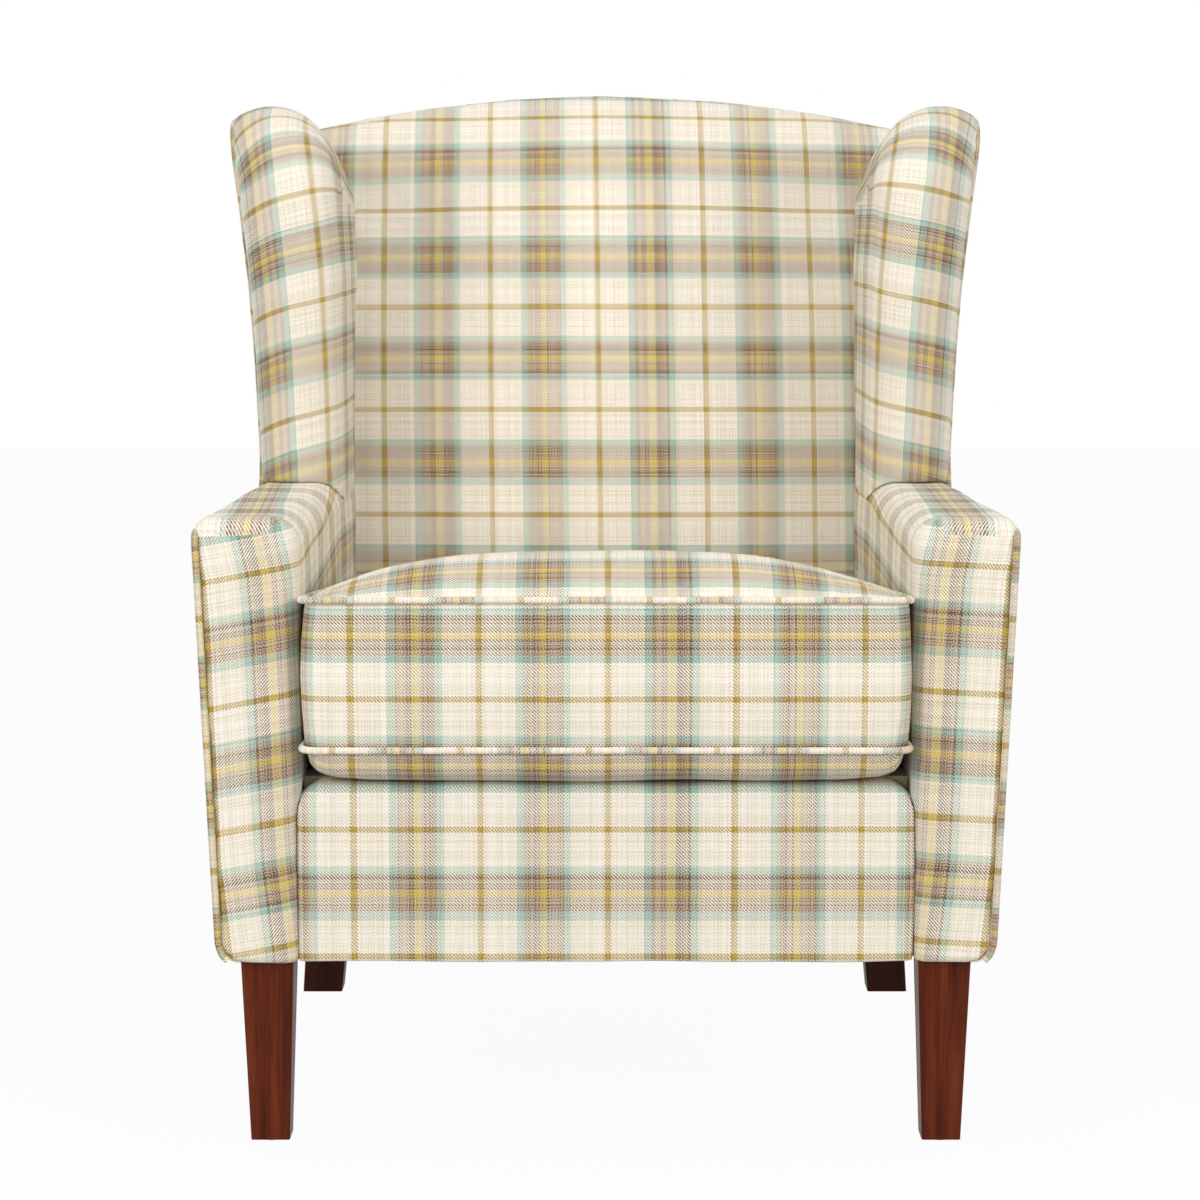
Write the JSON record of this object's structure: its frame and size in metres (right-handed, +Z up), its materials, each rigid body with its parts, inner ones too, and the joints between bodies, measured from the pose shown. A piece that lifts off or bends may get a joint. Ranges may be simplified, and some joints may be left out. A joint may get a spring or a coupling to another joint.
{
  "type": "fireside chair",
  "caption": "Upholstered fireside chair with wings, padded arms, a loose box cushion and tapered wooden legs.",
  "frame": {"origin": "on the floor, under the middle of the chair's width and depth", "axes": "+Z up, -Y towards the sitter's feet at the front, +X to the right seen from the front"},
  "size_m": [0.7802, 0.8186, 0.9905],
  "materials": {
    "tartan_cloth": "matte woven wool-look tartan",
    "piping_tartan": "matte self piping",
    "platform_cloth": "matte platform cloth",
    "dust_cloth": "matte non-woven cloth",
    "foam": "open-cell foam",
    "felt": "needled felt",
    "card": "fibre card",
    "webbing": "woven webbing",
    "frame_timber": "sawn hardwood",
    "leg_wood": "stained and satin lacquered",
    "steel": "zinc plated",
    "glide_plastic": "moulded",
    "zip_tape": "woven tape",
    "zip_plastic": "moulded coil",
    "zip_metal": "plated"
  },
  "bodies": {
    "chair": {"arm_boards": "frame_timber", "arm_liners": "card", "arm_rails": "frame_timber", "back_foam": "foam", "back_liner": "card", "back_webbing": "webbing", "border_cover": "tartan_cloth", "border_pad": "foam", "corner_braces": "frame_timber", "crest_piping": "piping_tartan", "crest_rail": "frame_timber", "deck_foam": "foam", "deck_lining": "platform_cloth", "dust_cover": "dust_cloth", "front_seat_rail": "frame_timber", "inside_back_cover": "tartan_cloth", "left_arm_cover": "tartan_cloth", "left_arm_foam": "foam", "left_back_post": "frame_timber", "left_front_leg": "leg_wood", "left_front_post": "frame_timber", "left_outside_arm_cover": "tartan_cloth", "left_outside_wing_cover": "tartan_cloth", "left_piping": "piping_tartan", "left_rear_leg": "leg_wood", "left_wing_cover": "tartan_cloth", "left_wing_foam": "foam", "leg_bolts": "steel", "leg_glides": "glide_plastic", "leg_inserts": "steel", "lower_back_rail": "frame_timber", "outside_back_cover": "tartan_cloth", "rear_seat_rail": "frame_timber", "right_arm_cover": "tartan_cloth", "right_arm_foam": "foam", "right_back_post": "frame_timber", "right_front_leg": "leg_wood", "right_front_post": "frame_timber", "right_outside_arm_cover": "tartan_cloth", "right_outside_wing_cover": "tartan_cloth", "right_piping": "piping_tartan", "right_rear_leg": "leg_wood", "right_wing_cover": "tartan_cloth", "right_wing_foam": "foam", "seat_springs": "steel", "side_seat_rails": "frame_timber", "spring_clips": "steel", "spring_insulator": "felt", "wing_boards": "frame_timber", "wing_liners": "card"},
    "cushion": {"cushion_bottom_panel": "tartan_cloth", "cushion_bottom_piping": "piping_tartan", "cushion_boxing": "tartan_cloth", "cushion_foam": "foam", "cushion_top_panel": "tartan_cloth", "cushion_top_piping": "piping_tartan", "zip_tape": "zip_tape", "zip_chain": "zip_plastic"},
    "zip_slider": {"zip_slider": "zip_metal"}
  },
  "joints": [
    {"name": "cushion_lift", "type": "slide", "parent": "chair", "child": "cushion", "axis": [0, 0, 1], "range_m": [0, 0.3]},
    {"name": "zip_slide", "type": "slide", "parent": "cushion", "child": "zip_slider", "axis": [1, 0, 0], "range_m": [0, 0.379]}
  ]
}
